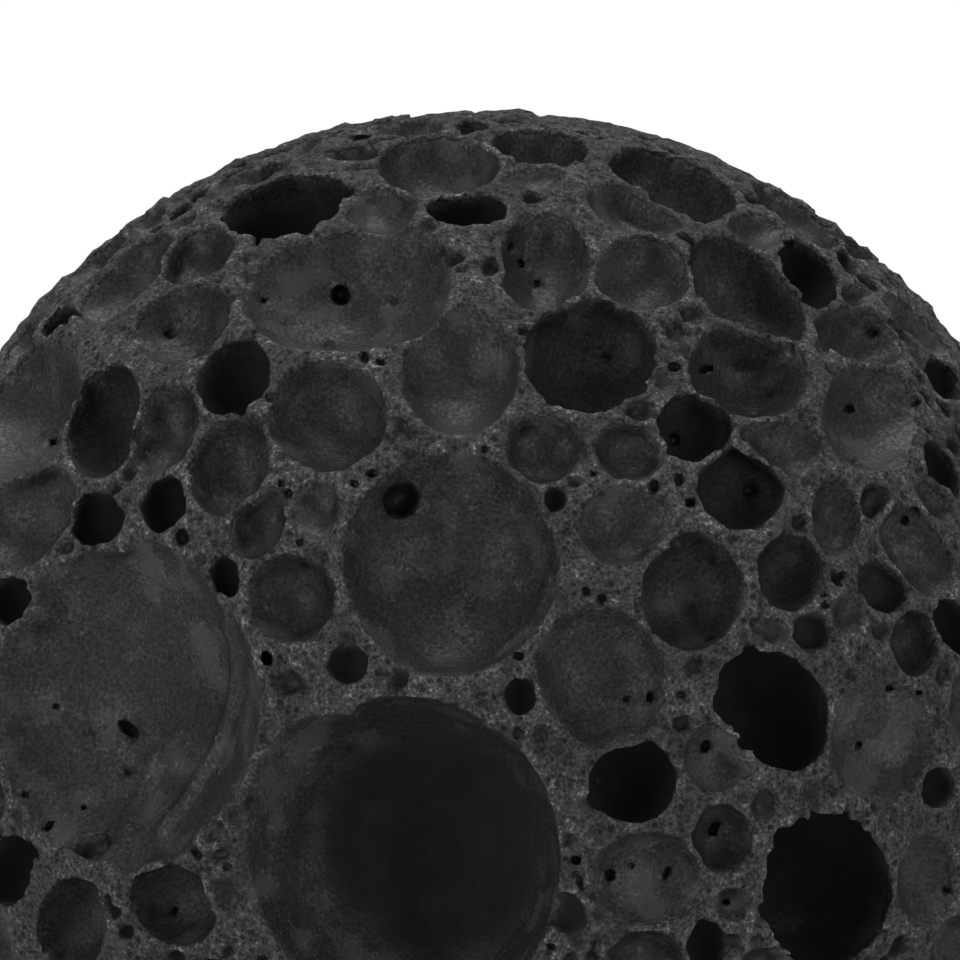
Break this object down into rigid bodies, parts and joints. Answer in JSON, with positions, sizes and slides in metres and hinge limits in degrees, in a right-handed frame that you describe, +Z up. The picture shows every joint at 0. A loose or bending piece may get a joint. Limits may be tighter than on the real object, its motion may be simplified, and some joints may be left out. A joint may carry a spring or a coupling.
{
  "type": "lava rock",
  "caption": "Rounded piece of dark vesicular lava, open all over with frozen gas bubbles of many sizes, with a small worn flat on its underside to rest on.",
  "frame": {"origin": "on the worn resting flat, at the bottom centre of the stone's box", "axes": "+Z up from the flat; -Y is the front, the side with the widest bubbles, and +X is to the right seen from the front"},
  "size_m": [0.0604, 0.0612, 0.0594],
  "materials": {
    "lava": "rough, matt and finely granular, with smoother bubble linings"
  },
  "bodies": {
    "root": {"lava_rock": "lava"}
  },
  "joints": []
}
